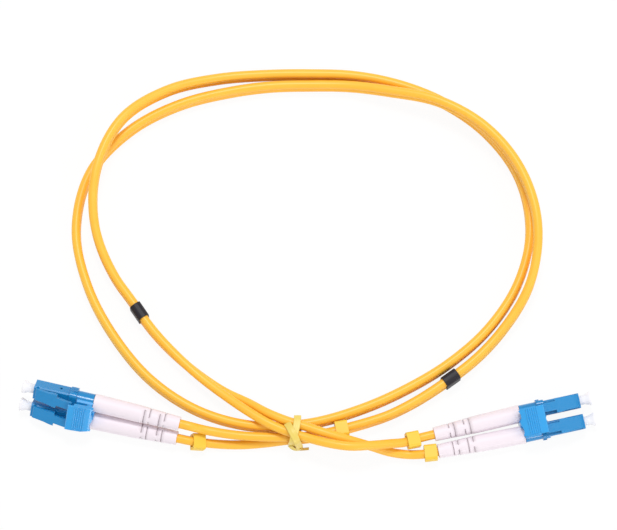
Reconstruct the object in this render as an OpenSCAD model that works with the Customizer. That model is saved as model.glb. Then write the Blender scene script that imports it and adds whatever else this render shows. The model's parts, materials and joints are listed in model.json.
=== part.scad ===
// Fiber optic patch cord: a duplex figure-eight cord in two turns with a duplex plug on each end.
// Millimetres, +Z up, the cord lies on z = 0. Each plug is drawn along +X with its nose forward.

/* [Cable] */
// diameter of one cable leg, and of each half of the figure-eight cord
cable_d = 2.8; // [2.6:0.05:2.8]
// sides of a cable's section
cable_sides = 8; // [8]
// straight length of a leg behind its boot
lead_out = 4.0; // [3.9:0.1:4.2]

/* [Plug] */
// distance between the two channels of a plug
pitch = 6.25; // [6.2:0.05:6.3]
// side of the square nose
nose_side = 4.42; // [4.36:0.02:4.5]
// chamfer on the four long edges of the nose
nose_edge = 0.35; // [0.2:0.05:0.4]
// chamfer round the front face of the nose
nose_front = 0.4; // [0.2:0.05:0.5]
// length of the square nose
nose_l = 10.7; // [10.5:0.1:10.9]
// side of the square collar behind the nose
collar_side = 5.25; // [5.1:0.05:5.3]
// back of the collar, from the front face of the nose
collar_back = 12.9; // [12.8:0.05:13.0]
// radius of the round barrel behind the collar
barrel_r = 2.45; // [2.4:0.01:2.46]
// back of the barrel, from the front face of the nose
fore = 18.0; // [17.9:0.05:18.1]
// radius of the mouth round the ferrule
mouth_r = 1.5; // [1.45:0.01:1.55]
// depth of the mouth
mouth_l = 6.3; // [6.1:0.1:6.5]
// radius of the neck that stops the flange
neck_r = 0.95; // [0.85:0.05:1.0]
// radius of the spring chamber
chamber_r = 1.6; // [1.58:0.01:1.65]
// diameter of the small hole in each side of the nose
side_hole_d = 0.9; // [0.7:0.05:1.1]
// place of that hole, from the front face of the nose
side_hole_at = 7.8; // [7.6:0.1:8.0]

/* [Latch] */
// pivot of the latch: distance behind the nose and height over the axis
latch_pivot = [1.2, 2.43];
// radius of the latch's pivot bead
bead_r = 0.5; // [0.45:0.01:0.55]
// slope of the latch arm in degrees
latch_slope = 12.5; // [12.2:0.1:12.7]
// thickness of the latch arm
latch_t = 0.8; // [0.7:0.05:0.85]
// half widths of the latch: front, ears, arm
latch_front_w = 1.85; // [1.6:0.05:1.9]
// half width across the ears
latch_ear_w = 2.15; // [2.1:0.05:2.25]
// half width of the free arm
latch_arm_w = 1.3; // [1.1:0.05:1.4]
// back of the ears, from the front face of the nose
latch_ear_back = 7.5; // [7.3:0.1:7.7]
// free end of the latch, from the front face of the nose
latch_end = 12.1; // [12.0:0.05:12.1]

/* [Trigger and clip] */
// hinge of the trigger: distance behind the nose and height over the axis
trigger_pivot = [17.4, 4.0];
// radius of the hinge pin
pin_r = 0.6; // [0.5:0.05:0.6]
// front edge of the trigger, from the front face of the nose
trigger_front = 11.3; // [11.2:0.05:11.4]
// height of the trigger's front edge over the axis
trigger_top = 6.4; // [6.35:0.05:6.45]
// half width of the trigger at its front and at its back
trigger_w = 4.1; // [4.05:0.05:4.2]
// half width at the back
trigger_back_w = 3.8; // [3.75:0.05:3.9]
// number of grip ribs
ribs = 6; // [4:1:6]
// distance between grip ribs
rib_step = 0.6; // [0.5:0.05:0.6]
// front of the clip, from the front face of the nose
clip_front = 13.25; // [13.2:0.05:13.4]
// how far the clip reaches over the boots
clip_back = 0.85; // [0.7:0.05:1.0]
// half width of the clip
clip_w = 4.45; // [4.3:0.05:4.5]
// lower face of the clip below the axis
clip_low = 2.85; // [2.8:0.01:2.9]
// upper face of the clip over the axis
clip_high = 3.0; // [2.95:0.01:3.0]

/* [Inside the plug] */
// diameter of the ferrule
ferrule_d = 1.25; // [1.24:0.01:1.26]
// tip of the ferrule behind the nose's front face
ferrule_at = 0.6; // [0.4:0.1:1.0]
// radius of the flange that holds the ferrule
flange_r = 1.45; // [1.35:0.01:1.5]
// radius of the flange's tail tube
tail_r = 0.75; // [0.7:0.05:0.8]
// mean radius and wire radius of the spring
coil_r = 1.15; // [1.1:0.01:1.2]
// radius of the spring wire
wire_r = 0.16; // [0.12:0.01:0.16]
// turns of the spring
coil_turns = 5; // [4:1:5]
// front face of the back post, from the front face of the nose
post_at = 12.4; // [12.3:0.05:12.5]
// radius of the post's shank under the crimp sleeve
shank_r = 1.2; // [1.1:0.05:1.25]
// outer radius of the crimp sleeve
crimp_r = 1.85; // [1.75:0.01:1.87]
// distance from the housing's back end to the crimp sleeve's back end
crimp_back = 6.5; // [6.2:0.1:6.5]
// diameter of the buffered fibre
fibre_d = 0.9; // [0.8:0.05:0.9]

/* [Boot and dust cap] */
// length of the boot
boot_l = 26.0; // [25.9:0.05:26.1]
// radius of the boot where it meets the barrel
boot_r = 2.65; // [2.6:0.01:2.68]
// radius of the boot at its cable end
boot_end_r = 2.05; // [2.0:0.01:2.1]
// radius of the boot at the middle of its length
boot_mid_r = 2.58; // [2.54:0.01:2.6]
// angle by which each boot leans towards the other
toe = 1.25; // [1.2:0.05:1.3]
// places of the four slits, from the cable end
slit_at = [4.5, 6.0, 9.0, 10.6];
// width of a slit
slit_w = 0.3; // [0.2:0.05:0.35]
// depth of a slit
slit_depth = 0.3; // [0.2:0.05:0.32]
// radius of the dust cap's tube
cap_r = 1.36; // [1.32:0.01:1.4]
// length of the cap in front of the nose
cap_out = 3.5; // [3.3:0.1:3.7]
// length of the cap inside the nose
cap_in = 5.6; // [5.2:0.1:5.8]
// radius of the cap's flared rim
cap_rim_r = 2.0; // [1.9:0.05:2.0]

/* [Marks and tie] */
// length, width and height of an identification ring on a leg
ring_size = [3.7, 4.7, 3.8];
// radial play of a leg in its ring
ring_play = 0.25; // [0.23:0.01:0.28]
// length, width and height of the dark sleeve where the cord splits
sleeve_size = [4.8, 3.55, 6.2];
// width of the tie's band
tie_w = 2.2; // [2.0:0.1:2.4]
// thickness of the tie's band
tie_t = 0.35; // [0.3:0.05:0.35]

/* [Fits] */
// radial clearance of a part that turns or slides on another
running = 0.05; // [0.04:0.01:0.06]
// radial clearance of the cap on the ferrule
cap_fit = 0.03; // [0.02:0.01:0.04]
// clearance between a cable and what surrounds it
cable_gap = 0.06; // [0.05:0.01:0.08]
// gap between two faces that meet
touch = 0.03; // [0.02:0.01:0.05]

/* [Hidden] */
$fn = 40;
plug_l = boot_l + fore;
cr = cable_d / 2;
flat = cr * cos(180 / cable_sides);
// The boot's front face is turned by the toe angle and just clears the barrel.
boot_gap = boot_r * sin(toe) + touch;
half_h = cr + flat;
np = pitch / 2;
nh = nose_side / 2;
latch_k = tan(latch_slope);
under_z = 5.6;
tw = trigger_pivot[0];
tz = trigger_pivot[1];
// The clip ends over the boots, and never short of the ear that carries the trigger.
clip_end = max(fore + clip_back, tw + 0.9);

// Where the part's own origin lies in the plan that the routes are drawn in.
centre = [-0.521, -1.532];

// Placing of the two plugs: point between the boots' cable ends, heading and roll in degrees.
left_at = [[-38.6, -5.2, 5.45], 166.8, -45];
right_at = [[37.3, -8.37, 3.5], 12.6, 10];

// Each point of a turn: bearing from the middle of the coil, radius, height over the rest height.
coil_mid = [0, 57];
turns = [
    [-30, 65.0, 0.5], [-15, 67.8, 3.4], [0, 67.8, 6.0], [15, 65.2, 6.2], [30, 60.5, 6.2], [45, 54.4, 5.8],
    [60, 48.7, 3.4], [75, 46.2, 0.6], [90, 45.0, 0], [105, 46.2, 0], [120, 49.4, 0], [135, 55.1, 0],
    [150, 62.0, 0], [165, 68.0, 0], [180, 69.7, 0], [195, 68.3, 0], [210, 66.7, 0], [225, 65.9, 0],
    [240, 64.6, 0.1], [255, 62.5, 0.6], [270, 59.6, 0.6], [285, 57.3, 0.3], [300, 56.8, 0], [315, 58.4, 0],
    [330, 61.3, 0], [345, 64.3, 0], [360, 65.9, 0], [375, 64.8, 0], [390, 61.0, 0], [405, 56.4, 0],
    [420, 52.4, 0], [435, 49.7, 0], [450, 48.5, 0], [465, 50.0, 0], [480, 54.3, 0.4], [495, 60.3, 2.6],
    [510, 65.0, 6.0], [525, 65.8, 6.4], [540, 63.9, 3.6], [555, 59.7, 0.9]
];
// Splits of the cord: middle, heading of travel, height over the rest height.
split_1 = [[41.7, 11.0], 36, 0.45];
split_2 = [[-50.5, 31.3], -56, 0.45];

// Points of the four legs between the boots and the splits.
leg_a1 = [
    [-33, -4.6, 6.4], [-27, -5.7, 5.5], [-20.5, -6.5, 5.0], [-13, -6.9, 4.85], [-6, -6.9, 4.85],
    [-1, -6.7, 4.85], [3, -6.1, 4.9], [7, -5.2, 4.9], [12, -3.8, 4.8], [17, -2.3, 4.4], [23, -0.2, 4.2],
    [30, 3.3, 4.3]
];
leg_a2 = [
    [-30.6, -8.1, 2.1], [-26, -8.4, 1.6], [-20.5, -8.5, 1.4], [-13, -8.0, 1.6], [-6, -7.2, 1.95],
    [-1, -6.9, 1.95], [3, -6.2, 1.7], [7, -5.1, 1.4], [12, -3.6, 1.35], [17, -2.1, 1.35], [23, 0, 1.35],
    [30, 3.4, 1.4]
];
leg_b1 = [
    [28, -8.44, 4.6], [23.5, -9.3, 6.6], [18, -10.3, 8.9], [12, -10.8, 10], [4, -9.4, 9.4], [-1, -7.8, 8.4],
    [-6, -6.1, 7.95], [-12, -3.5, 7.9], [-18, 0.3, 7.0], [-25, 5.5, 5.4], [-32, 11.1, 4.4], [-39, 17.5, 4.3]
];
leg_b2 = [
    [29, -11.6, 2.2], [24, -11.1, 3.0], [18, -9.8, 5.4], [12, -8.5, 7.6], [4, -6.3, 8.5], [-1, -4.5, 8.1],
    [-6, -2.9, 7.85], [-12, -0.3, 6.9], [-18, 3.4, 4.6], [-25, 7.2, 2.6], [-32, 12.1, 1.5], [-39, 17.9, 1.4]
];

// ---- Curves ------------------------------------------------------------------------------------

function unit(v) = v / norm(v);
function last(p) = p[len(p) - 1];

// Slope of the curve at point i: the neighbouring chords, each weighted by the other's length.
function slope(p, i) =
    i == 0 ? unit(p[1] - p[0]) :
    i == len(p) - 1 ? unit(p[i] - p[i - 1]) :
    let (a = norm(p[i] - p[i - 1]), b = norm(p[i + 1] - p[i]))
    ((p[i] - p[i - 1]) / a * b + (p[i + 1] - p[i]) / b * a) / (a + b);

function between(p, i, t) =
    let (d = norm(p[i + 1] - p[i]))
    (2 * t * t * t - 3 * t * t + 1) * p[i] + (t * t * t - 2 * t * t + t) * d * slope(p, i)
    + (3 * t * t - 2 * t * t * t) * p[i + 1] + (t * t * t - t * t) * d * slope(p, i + 1);

// The points of p with n - 1 more set into each stretch, on a smooth curve.
function smooth(p, n) = concat(
    [for (i = [0 : len(p) - 2]) for (k = [0 : n - 1]) between(p, i, k / n)], [last(p)]);

function side_of(t) = unit(cross([0, 0, 1], t));

// Section points of a round cable, and of the figure-eight cord standing on edge.
function round_section() = [for (k = [0 : cable_sides - 1]) cr * [cos((k + 0.5) * 360 / cable_sides),
    sin((k + 0.5) * 360 / cable_sides)]];
function eight_section() = [
    for (k = [-1 : 5]) [0, cr] + cr * [cos(22.5 + 45 * k), sin(22.5 + 45 * k)],
    for (k = [3 : 9]) [0, -cr] + cr * [cos(22.5 + 45 * k), sin(22.5 + 45 * k)]
];
// The same outline with the two halves joined by a short web.
function eight_points() = [
    for (q = eight_section()) abs(q[1]) < cr - flat + 0.01 ? [q[0], 0] : q
];
function cord_section() = [
    for (k = [0 : len(eight_points()) - 1])
        let (q = eight_points()[k], r = eight_points()[(k + 1) % len(eight_points())])
        if (norm(q - r) > 0.01) q
];

// Skin of a section carried along a path, its ends square to the path. Each end is closed by the given
// rings of section points.
module sweep(path, section, ends) {
    n = len(section);
    m = len(path);
    points = [
        for (i = [0 : m - 1])
            let (t = unit(slope(path, i)), s = side_of(t), u = cross(t, s))
            for (q = section) path[i] + s * q[0] + u * q[1]
    ];
    faces = concat(
        ends,
        [for (e = ends) [for (k = [len(e) - 1 : -1 : 0]) (m - 1) * n + e[k]]],
        [for (i = [0 : m - 2]) for (j = [0 : n - 1]) [i * n + j, (i + 1) * n + j, (i + 1) * n + (j + 1) % n]],
        [for (i = [0 : m - 2]) for (j = [0 : n - 1]) [i * n + j, (i + 1) * n + (j + 1) % n, i * n + (j + 1) % n]]
    );
    polyhedron(points, faces, convexity = 10);
}

// ---- Placing -----------------------------------------------------------------------------------

function turn_z(v, a) = [v[0] * cos(a) - v[1] * sin(a), v[0] * sin(a) + v[1] * cos(a), v[2]];
function turn_x(v, a) = [v[0], v[1] * cos(a) - v[2] * sin(a), v[1] * sin(a) + v[2] * cos(a)];
function placed(at, v) = at[0] + turn_z(turn_x(v, at[2]), at[1]);

// Point on the axis of a boot at a distance behind its front face.
function boot_point(at, side, s) = placed(at, [boot_l - s * cos(toe), side * (np - s * sin(toe)), 0]);

function plan(b, r) = [coil_mid[0] + r * cos(b), coil_mid[1] + r * sin(b)];
function split_point(sp, along, z) =
    [sp[0][0] + along * cos(sp[1]), sp[0][1] + along * sin(sp[1]), z + sp[2]];

cord_route = concat(
    [split_point(split_1, touch, half_h), split_point(split_1, cable_d + 1, half_h)],
    [for (q = turns) [plan(q[0], q[1])[0], plan(q[0], q[1])[1], half_h + q[2]]],
    [split_point(split_2, -cable_d - 1, half_h), split_point(split_2, -touch, half_h)]
);

leg_from = crimp_back + 0.1;
function leg_route(at, side, mid, sp, way, z) = concat(
    [for (s = [leg_from, 15, boot_l, boot_l + lead_out]) boot_point(at, side, s)],
    mid,
    [split_point(sp, way * (cable_d + 1), z), split_point(sp, way * touch, z)]
);
route_a1 = leg_route(left_at, -1, leg_a1, split_1, -1, flat + cable_d);
route_a2 = leg_route(left_at, 1, leg_a2, split_1, -1, flat);
route_b1 = leg_route(right_at, 1, leg_b1, split_2, 1, flat + cable_d);
route_b2 = leg_route(right_at, -1, leg_b2, split_2, 1, flat);

// Least gap of the cord to itself, on the middle lines of its two halves, leaving out near neighbours.
fine = smooth(cord_route, 4);
function lobes(i) =
    let (t = unit(slope(fine, i)), u = cross(t, side_of(t)))
    [fine[i] + cr * u, fine[i] - cr * u];
lobe_list = [for (i = [0 : len(fine) - 1]) lobes(i)];
self_gap = min([
    for (i = [0 : len(fine) - 1]) for (j = [i + 12 : 1 : len(fine) - 1])
        if (norm(fine[i] - fine[j]) < 12)
            for (a = lobe_list[i]) for (b = lobe_list[j]) norm(a - b) - cable_d
]);
function length_of(p) =
    [for (i = [0 : 1 : len(p) - 2]) norm(p[i + 1] - p[i])] * [for (i = [0 : 1 : len(p) - 2]) 1];
echo("least gap of the cord to itself", self_gap);
echo("lengths: cord, legs", length_of(fine), length_of(smooth(route_a1, 4)), length_of(smooth(route_a2, 4)),
    length_of(smooth(route_b1, 4)), length_of(smooth(route_b2, 4)));

module on_plug(at) {
    translate([-centre[0], -centre[1], 0])
        translate(at[0]) rotate([0, 0, at[1]]) rotate([at[2], 0, 0]) children();
}

module channel(at, side) {
    on_plug(at) translate([0, side * np, 0]) children();
}

module boot_axis(at, side) {
    on_plug(at) translate([boot_l, side * np, 0]) rotate([0, 0, side * toe]) children();
}

// Solid of turning along the plug, between two distances behind the nose.
module rod(s0, s1, r0, r1) {
    translate([plug_l - s1, 0, 0]) rotate([0, 90, 0]) cylinder(h = s1 - s0, r1 = r1, r2 = r0);
}

// Side view in distance behind the nose and height, given a width across.
module side_cut(points, w) {
    translate([plug_l, w / 2, 0]) rotate([90, 0, 0]) linear_extrude(w)
        polygon([for (q = points) [-q[0], q[1]]]);
}

// Section across the plug, carried between two distances behind the nose.
module across(s0, s1) {
    translate([plug_l - s1, 0, 0]) rotate([90, 0, 90]) linear_extrude(s1 - s0) children();
}

module round_box(w, h, r) {
    for (y = [-1, 1]) for (z = [-1, 1]) translate([y * (w / 2 - r), z * (h / 2 - r)]) circle(r);
    square([w - 2 * r, h], center = true);
    square([w, h - 2 * r], center = true);
}

// ---- One channel of a plug ----------------------------------------------------------------------

module housing(side) {
    difference() {
        union() {
            intersection() {
                across(0, nose_l + 0.2) polygon([
                    [nh - nose_edge, nh], [nose_edge - nh, nh], [-nh, nh - nose_edge], [-nh, nose_edge - nh],
                    [nose_edge - nh, -nh], [nh - nose_edge, -nh], [nh, nose_edge - nh], [nh, nh - nose_edge]
                ]);
                side_cut([[0, nose_front - nh], [nose_front, -nh - 1], [nose_l + 1, -nh - 1],
                    [nose_l + 1, nh + 1], [nose_front, nh + 1], [0, nh - nose_front]], 9);
                translate([plug_l, 0, -5]) linear_extrude(10) polygon([[0, nose_front - nh],
                    [-nose_front, -nh - 1], [-nose_l - 1, -nh - 1], [-nose_l - 1, nh + 1], [-nose_front, nh + 1],
                    [0, nh - nose_front]]);
            }
            across(nose_l, collar_back) round_box(collar_side, collar_side, 1.2);
            translate([plug_l - collar_back, side > 0 ? 2.0 : -2.95, -0.9]) cube([1.1, 0.95, 1.8]);
            rod(collar_back - 0.1, fore, barrel_r, barrel_r);
        }
        rod(-1, mouth_l, mouth_r, mouth_r);
        rod(mouth_l - 0.1, mouth_l + 0.8, neck_r, neck_r);
        rod(mouth_l + 0.6, fore + 1, chamber_r, chamber_r);
        translate([plug_l - side_hole_at, 0, 0]) rotate([90, 0, 0])
            cylinder(h = 8, d = side_hole_d, center = true, $fn = 24);
        translate([plug_l - latch_pivot[0], 0, latch_pivot[1]]) rotate([90, 0, 0])
            cylinder(h = 8, r = bead_r + running, center = true);
    }
}

// Height of the latch's upper face at a distance behind the nose.
function latch_z(s) = latch_pivot[1] + bead_r - 0.03 + latch_k * (s - latch_pivot[0]);

module latch() {
    translate([plug_l - latch_pivot[0], 0, latch_pivot[1]]) rotate([90, 0, 0])
        cylinder(h = 2 * latch_front_w, r = bead_r, center = true);
    intersection() {
        side_cut([
            [latch_pivot[0] - 0.1, latch_z(latch_pivot[0] - 0.1)], [latch_end - 0.3, latch_z(latch_end - 0.3)],
            [latch_end, latch_z(latch_end) - 0.25], [latch_end, latch_z(latch_end) - latch_t],
            [latch_ear_back + 0.2, latch_z(latch_ear_back + 0.2) - latch_t],
            [latch_ear_back, latch_z(latch_ear_back) - latch_t - 0.3],
            [5.2, latch_z(5.2) - latch_t - 0.1],
            [2.1, latch_z(2.1) - latch_t], [latch_pivot[0], latch_pivot[1] + 0.1]
        ], 10);
        translate([plug_l, 0, 0]) linear_extrude(10) polygon([
            [0, -latch_front_w], [-4.6, -latch_front_w - 0.1], [-6.2, -latch_ear_w],
            [-latch_ear_back, -latch_ear_w], [-latch_ear_back, -latch_arm_w], [-latch_end, -latch_arm_w],
            [-latch_end, latch_arm_w], [-latch_ear_back, latch_arm_w], [-latch_ear_back, latch_ear_w],
            [-6.2, latch_ear_w], [-4.6, latch_front_w + 0.1], [0, latch_front_w]
        ]);
    }
}

module ferrule() {
    difference() {
        union() {
            rod(ferrule_at, ferrule_at + 0.15, ferrule_d / 2 - 0.12, ferrule_d / 2);
            rod(ferrule_at + 0.15, 7.9, ferrule_d / 2, ferrule_d / 2);
        }
        rod(7.4, 8.0, fibre_d / 2 + touch, fibre_d / 2 + touch);
    }
}

module flange() {
    difference() {
        union() {
            rod(6.95, 7.2, flange_r - 0.2, flange_r);
            rod(7.2, 8.2, flange_r, flange_r);
            rod(8.1, 10.6, tail_r, tail_r);
        }
        rod(6.5, 7.9, ferrule_d / 2, ferrule_d / 2);
        rod(7.8, 11, fibre_d / 2 + touch, fibre_d / 2 + touch);
        for (a = [0, 90]) rotate([a, 0, 0]) translate([plug_l - 8.3, flange_r - 0.25, -0.3]) cube([1.5, 1, 0.6]);
    }
}

// Coil spring of one wire, with its axis along the plug.
module spring() {
    s0 = 8.2 + wire_r + touch;
    s1 = post_at - wire_r - touch;
    path = [
        for (k = [0 : 8 * coil_turns])
            [plug_l - s0 - (s1 - s0) * k / (8 * coil_turns), coil_r * cos(45 * k), coil_r * sin(45 * k)]
    ];
    n = 5;
    m = len(path);
    points = [
        for (i = [0 : m - 1]) for (j = [0 : n - 1])
            let (a = 45 * i, g = 72 * j)
            path[i] + wire_r * [-sin(g), cos(g) * cos(a), cos(g) * sin(a)]
    ];
    faces = concat(
        [[for (j = [0 : n - 1]) j]],
        [[for (j = [n - 1 : -1 : 0]) (m - 1) * n + j]],
        [for (i = [0 : m - 2]) for (j = [0 : n - 1]) [i * n + j, (i + 1) * n + j, (i + 1) * n + (j + 1) % n]],
        [for (i = [0 : m - 2]) for (j = [0 : n - 1]) [i * n + j, (i + 1) * n + (j + 1) % n, i * n + (j + 1) % n]]
    );
    polyhedron(points, faces, convexity = 10);
}

module post() {
    difference() {
        union() {
            rod(post_at, 14.4, chamber_r - running, chamber_r - running);
            rod(14.3, fore + 0.1, chamber_r - 0.15, chamber_r - 0.15);
            rod(fore + touch, fore + 0.6, 1.95, 1.95);
            rod(fore + 0.5, fore + 4.5, shank_r, shank_r);
        }
        rod(post_at - 1, fore + 5, fibre_d / 2 + 0.12, fibre_d / 2 + 0.12);
        rod(post_at - 1, 13.9, tail_r + 0.15, tail_r + 0.15);
    }
}

module crimp() {
    difference() {
        union() {
            rod(fore + 0.6 + touch, fore + crimp_back, crimp_r, crimp_r);
        }
        rod(fore, fore + 4.6, shank_r + touch, shank_r + touch);
        rod(fore + 4, fore + crimp_back + 1, fibre_d / 2 + 0.12, fibre_d / 2 + 0.12);
        for (k = [0 : 2]) difference() {
            rod(fore + 1.6 + 1.3 * k, fore + 2.2 + 1.3 * k, crimp_r + 1, crimp_r + 1);
            rod(fore + 1 + 1.3 * k, fore + 3 + 1.3 * k, crimp_r - 0.12, crimp_r - 0.12);
        }
    }
}

module fibre() {
    rod(7.45, fore + 5.2, fibre_d / 2, fibre_d / 2, $fn = 16);
}

// Drawn on its own axis: front face at x = 0, cable end at x = -boot_l.
module boot(flip) {
    difference() {
        translate([-boot_l, 0, 0]) rotate([0, 90, 0]) union() {
            cylinder(h = boot_l / 2, r1 = boot_end_r, r2 = boot_mid_r);
            translate([0, 0, boot_l / 2]) cylinder(h = boot_l / 2 - boot_gap, r1 = boot_mid_r, r2 = boot_r);
        }
        translate([-crimp_back - 0.5, 0, 0]) rotate([0, 90, 0])
            cylinder(h = crimp_back + 1.5, r = 2.05);
        translate([-crimp_back - 1.9, 0, 0]) rotate([0, 90, 0])
            cylinder(h = 1.5, r1 = cr + cable_gap, r2 = 2.05);
        translate([-boot_l - 1, 0, 0]) rotate([0, 90, 0]) cylinder(h = boot_l, r = cr + cable_gap);
        for (k = [0 : 3]) {
            x = slit_at[k] - boot_l;
            r = boot_end_r + (boot_mid_r - boot_end_r) * slit_at[k] / boot_l * 2;
            difference() {
                translate([x - slit_w / 2, 0, 0]) rotate([0, 90, 0]) cylinder(h = slit_w, r = r + 1);
                translate([x - slit_w, 0, 0]) rotate([0, 90, 0]) cylinder(h = 2 * slit_w, r = r - slit_depth);
                rotate([(k + flip) % 2 * 90, 0, 0]) translate([x - 1, -0.7, -4]) cube([2, 1.4, 8]);
            }
        }
    }
}

module cap() {
    hole = ferrule_d / 2 + cap_fit;
    translate([plug_l, 0, 0]) rotate([0, -90, 0]) rotate_extrude() polygon([
        [0, 0.7 - cap_out], [0.9, 0.7 - cap_out], [0.9, -cap_out], [cap_rim_r - 0.1, -cap_out],
        [cap_rim_r, 0.15 - cap_out], [cap_rim_r, 0.4 - cap_out], [cap_r, 1.9 - cap_out], [cap_r, cap_in - 0.3],
        [cap_r - 0.15, cap_in], [hole, cap_in], [hole, -1], [0, -1]
    ]);
}

// ---- Parts that join the two channels of a plug ----------------------------------------------------

module clip() {
    e = 0.5;
    difference() {
        union() {
            across(clip_front, clip_end) polygon([
                [clip_w, clip_high - e], [clip_w - e, clip_high], [e - clip_w, clip_high],
                [-clip_w, clip_high - e], [-clip_w, e - clip_low], [e - clip_w, -clip_low],
                [clip_w - e, -clip_low], [clip_w, e - clip_low]
            ]);
            side_cut([[tw - 0.9, clip_high - 0.5], [tw + 0.9, clip_high - 0.5], [tw + 0.9, tz], [tw - 0.9, tz]],
                3.2);
            translate([plug_l - tw, 0, tz]) rotate([90, 0, 0]) cylinder(h = 3.2, r = 1, center = true);
        }
        for (y = [-np, np]) translate([0, y, 0]) {
            rod(clip_front - 1, fore + 0.1, barrel_r + running, barrel_r + running);
            rod(fore - touch, clip_end + 1, boot_r + running, boot_r + running);
        }
        translate([plug_l - tw, 0, tz]) rotate([90, 0, 0]) cylinder(h = 8, r = pin_r + running, center = true);
        for (y = [-np, np]) translate([plug_l - clip_end - 2.1, y, 0.6]) cylinder(h = 2.8, r = 3);
    }
}

module trigger() {
    difference() {
        intersection() {
            union() {
                side_cut([
                    [trigger_front, under_z], [trigger_front, trigger_top - 0.25],
                    [trigger_front + 0.25, trigger_top], [12.9, trigger_top - 0.05], [16.1, 5.95], [17.9, 5.35],
                    [18.8, 4.95], [18.8, 4.2], [tw, tz], [tw - 1.5, 4.2], [12.9, 4.4], [12.9, under_z]
                ], 2 * trigger_w);
                for (y = [-1, 1]) translate([plug_l - tw, y * 2.95, tz]) rotate([90, 0, 0])
                    cylinder(h = 2.3, r = 0.85, center = true);
                for (k = [0 : ribs - 1]) translate([plug_l - 13.5 - rib_step * k, 0, 6.2 - 0.125 * rib_step * k])
                    rotate([90, 0, 0]) cylinder(h = 2 * trigger_w - 0.6, r = 0.25, center = true, $fn = 16);
            }
            translate([plug_l, 0, 0]) linear_extrude(10) polygon([
                [-trigger_front, -trigger_w], [-16, -trigger_w], [-18.8, -trigger_back_w],
                [-18.8, trigger_back_w], [-16, trigger_w], [-trigger_front, trigger_w]
            ]);
        }
        side_cut([[13.5, 4], [13.5, 5.4], [15.6, 5.15], [15.6, 4]], 7.2);
        side_cut([[tw - 1.12, 3], [tw - 1.12, tz], [tw + 1.12, tz], [tw + 1.12, 3]], 3.6);
        translate([plug_l - tw, 0, tz]) rotate([90, 0, 0]) cylinder(h = 3.6, r = 1.12, center = true);
        for (y = [-2.2, 2.2]) translate([plug_l - 21.3, y, 3]) cylinder(h = 6, r = 3);
    }
    translate([plug_l - tw, 0, tz]) rotate([90, 0, 0]) cylinder(h = 7.6, r = pin_r, center = true);
}

// ---- Marks, sleeves and tie -------------------------------------------------------------------------

// Placed at a share t of the straight stretch behind point i of a route, and turned a little in plan.
module on_route(p, i, t, turn) {
    a = p[i] + t * (p[i + 1] - p[i]);
    d = unit(p[i + 1] - p[i]);
    translate([a[0] - centre[0], a[1] - centre[1], a[2]])
        rotate([0, -asin(d[2]), atan2(d[1], d[0]) + turn]) children();
}

module ring() {
    w = ring_size[1];
    h = ring_size[2];
    rotate([90, 0, 90]) translate([0, 0, -ring_size[0] / 2]) linear_extrude(ring_size[0]) difference() {
        round_box(w, h, 0.8);
        circle(cr + ring_play);
    }
}

module sleeve(sp) {
    w = sleeve_size[1];
    h = sleeve_size[2];
    translate([sp[0][0] - centre[0], sp[0][1] - centre[1], half_h + sp[2]]) rotate([0, 0, sp[1]])
        rotate([90, 0, 90]) translate([0, 0, -sleeve_size[0] / 2]) linear_extrude(sleeve_size[0]) difference() {
            round_box(w, h, 1.5);
            for (z = [-cr, cr]) translate([0, z]) circle(cr + cable_gap);
            square([2 * cr * 0.7, cable_d], center = true);
        }
}

module tie() {
    rim = [
        [-1.25, 7.9], [-1.25, 1.0], [-1.9, 0.45], [-7.7, 0.45], [-8.6, 1.0], [-8.85, 2.2], [-8.75, 5.0],
        [-9.0, 7.0], [-9.0, 8.5], [-8.4, 9.5], [-7.2, 9.85], [-3.6, 9.6], [-2.2, 9.2]
    ];
    mid = [-5.0, 5.0];
    grow = 1 + tie_t / 4;
    translate([-3.5 - centre[0], -centre[1], 0]) {
        translate([-tie_w / 2, 0, 0]) rotate([90, 0, 90]) linear_extrude(tie_w) difference() {
            polygon([for (q = rim) mid + (q - mid) * grow]);
            polygon(rim);
        }
        translate([0, 0, 9.75]) linear_extrude(tie_t)
            polygon([[-4.3, -3.7], [-3.0, -3.2], [1.0, -8.3], [-0.6, -8.5]]);
        translate([-1.4, -9.7, 0.5]) cube([2.2, 0.8, 2.0]);
        translate([0.7, -9.5, 0.5]) cube([3.0, 0.4, 0.4]);
    }
}

// ---- Nodes -----------------------------------------------------------------------------------------

module cord() {
    color("orange") translate([-centre[0], -centre[1], 0]) sweep(cord_route, cord_section(),
        [[13, 0, 1, 2, 3, 4, 5, 6], [6, 7, 8, 9, 10, 11, 12, 13]]);
}

module leg(route) {
    color("orange") translate([-centre[0], -centre[1], 0])
        sweep(route, round_section(), [[0, 1, 2, 3, 4, 5, 6, 7]]);
}

module paint_blue() { color([0.2, 0.58, 0.86]) children(); }
module paint_white() { color([0.95, 0.93, 0.95]) children(); }
module paint_cap() { color([0.98, 0.98, 1.0, 0.6]) children(); }
module paint_steel() { color([0.75, 0.76, 0.78]) children(); }
module paint_brass() { color([0.8, 0.68, 0.4]) children(); }
module paint_yellow() { color([0.97, 0.86, 0.3]) children(); }
module paint_dark() { color([0.22, 0.2, 0.24]) children(); }

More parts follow.
